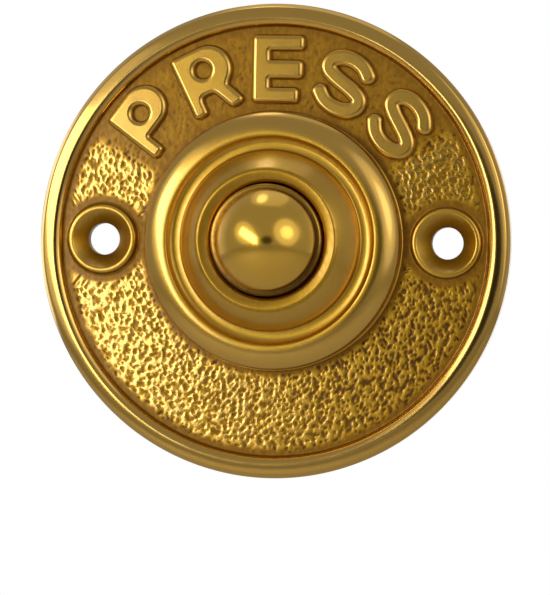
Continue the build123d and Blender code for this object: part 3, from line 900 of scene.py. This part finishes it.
studio = dict(  # in metres
    level=0.38,  # of the dim room in front of the plate
    boxDistance=0.35,
    floor=-0.15, floorSide=0.5, floorFront=-0.7, floorBack=0.3,
    flagAside=0.3, flagNear=0.1, flagFar=0.9, flagHalf=0.3,
    cameraBody=(0.10, 0.07), cameraBack=15, cameraAside=-0.02,  # half sizes, then its place behind the lens
)
softBoxes = [  # name, shape, degrees right and up, roll, width and height in metres, radiance
    ("left_box", "RECTANGLE", -34, 8, -28, 0.256, 0.092, 4.2),  # its straight end shows on the flat ground
    ("left_tip", "RECTANGLE", -16.5, -5, 0, 0.05, 0.055, 3.0),
    ("left_halo", "ELLIPSE", -42, 12, -30, 0.36, 0.24, 0.5),
    ("left_strip", "ELLIPSE", -117, 4, 0, 0.14, 0.29, 1.2),
    ("right_box", "ELLIPSE", 50, 15, 0, 0.17, 0.15, 1.3),
    ("right_halo", "ELLIPSE", 50, 16, 0, 0.37, 0.35, 0.6),
    ("top_box", "ELLIPSE", -100, 80, 0, 0.085, 0.085, 1.7),
    ("top_halo", "ELLIPSE", 180, 86, 0, 0.32, 0.22, 0.32),
]


def softBox(name, shape, right, above, roll, width, height, radiance):
    light = bpy.data.lights.new(name, "AREA")
    light.shape = shape
    light.size, light.size_y = width, height
    light.energy = radiance * math.pi * width * height * (1 if shape == "RECTANGLE" else math.pi / 4)
    lamp = bpy.data.objects.new(name, light)
    lamp.location = studio["boxDistance"] * towards(right, above)
    aim = (-lamp.location).to_track_quat("-Z", "Y") @ Quaternion((0, 0, 1), math.radians(roll))
    lamp.rotation_euler = aim.to_euler()
    lamp.visible_camera = False
    scene.collection.objects.link(lamp)


def stageCard(name, corners, colours, seen=True):
    mesh = bpy.data.meshes.new(name)
    mesh.from_pydata(corners, [], [range(len(corners))])
    mesh.materials.append(plainFinish("paper_matt_" + name, *colours, 0.8, 4.0))
    card = bpy.data.objects.new(name, mesh)
    card.visible_camera = seen
    scene.collection.objects.link(card)


def makeCards():
    s = studio
    corners = [(-1, "floorFront"), (1, "floorFront"), (1, "floorBack"), (-1, "floorBack")]
    floor = [(side * s["floorSide"], s[end], s["floor"]) for side, end in corners]
    stageCard("floor", floor, ("#D6D3CC", "#DEDBD4"))
    # A dark card beside the plate, and the dark camera that the dome mirrors
    corners = [("flagNear", -1), ("flagFar", -1), ("flagFar", 1), ("flagNear", 1)]
    flag = [(s["flagAside"], s[end], side * s["flagHalf"]) for end, side in corners]
    stageCard("flag", flag, ("#4A4844", "#4E4C48"), False)
    out = towards(view["right"], -view["below"])
    level = out.cross(Vector((0, 0, 1))).normalized()
    upright = out.cross(level)
    turns = [2 * math.pi * k / 24 for k in range(24)]
    wide, high = s["cameraBody"]
    rim = [wide * level * math.cos(turn) + high * upright * math.sin(turn) for turn in turns]
    behindLens = out * (view["distance"] + s["cameraBack"]) * mm + Vector((s["cameraAside"], 0, 0))
    stageCard("camera_body", [behindLens + spot for spot in rim], ("#161616", "#1A1A1A"), False)


def makeWorld():  # white where the camera sees it, and mirrored as a sweep behind the object
    world = bpy.data.worlds.new("paper_sweep")
    world.use_nodes = True
    scene.world = world
    tree = world.node_tree
    direction = addNode(tree, "ShaderNodeTexCoord").outputs["Generated"]
    axes = addNode(tree, "ShaderNodeSeparateXYZ", {0: direction})
    behind = addNode(tree, "ShaderNodeMapRange", {
        "Value": axes.outputs["Y"], "From Min": 0.05, "From Max": 0.45})
    below = addNode(tree, "ShaderNodeMapRange", {
        "Value": axes.outputs["Z"], "From Min": 0.3, "From Max": 0.7, "To Min": 1.0, "To Max": 0.2})
    sweep = addNode(tree, "ShaderNodeMath", {
        0: behind.outputs[0], 1: below.outputs[0]}, operation="MULTIPLY")
    ray = addNode(tree, "ShaderNodeLightPath").outputs
    mirrored = addNode(tree, "ShaderNodeMath", {
        0: ray["Is Glossy Ray"], 1: ray["Is Transmission Ray"]}, operation="MAXIMUM")
    mirrored = addNode(tree, "ShaderNodeMath", {
        0: sweep.outputs[0], 1: mirrored.outputs[0]}, operation="MULTIPLY")
    seen = addNode(tree, "ShaderNodeMath", {
        0: mirrored.outputs[0], 1: ray["Is Camera Ray"]}, operation="MAXIMUM")
    paper = addNode(tree, "ShaderNodeMapRange", {
        "Value": seen.outputs[0], "To Min": studio["level"], "To Max": 1.0})
    tree.links.new(paper.outputs[0], tree.nodes["Background"].inputs["Color"])


for box in softBoxes:
    softBox(*box)
makeCards()
makeWorld()
scene.view_settings.view_transform = "Standard"
print("camera and studio made")
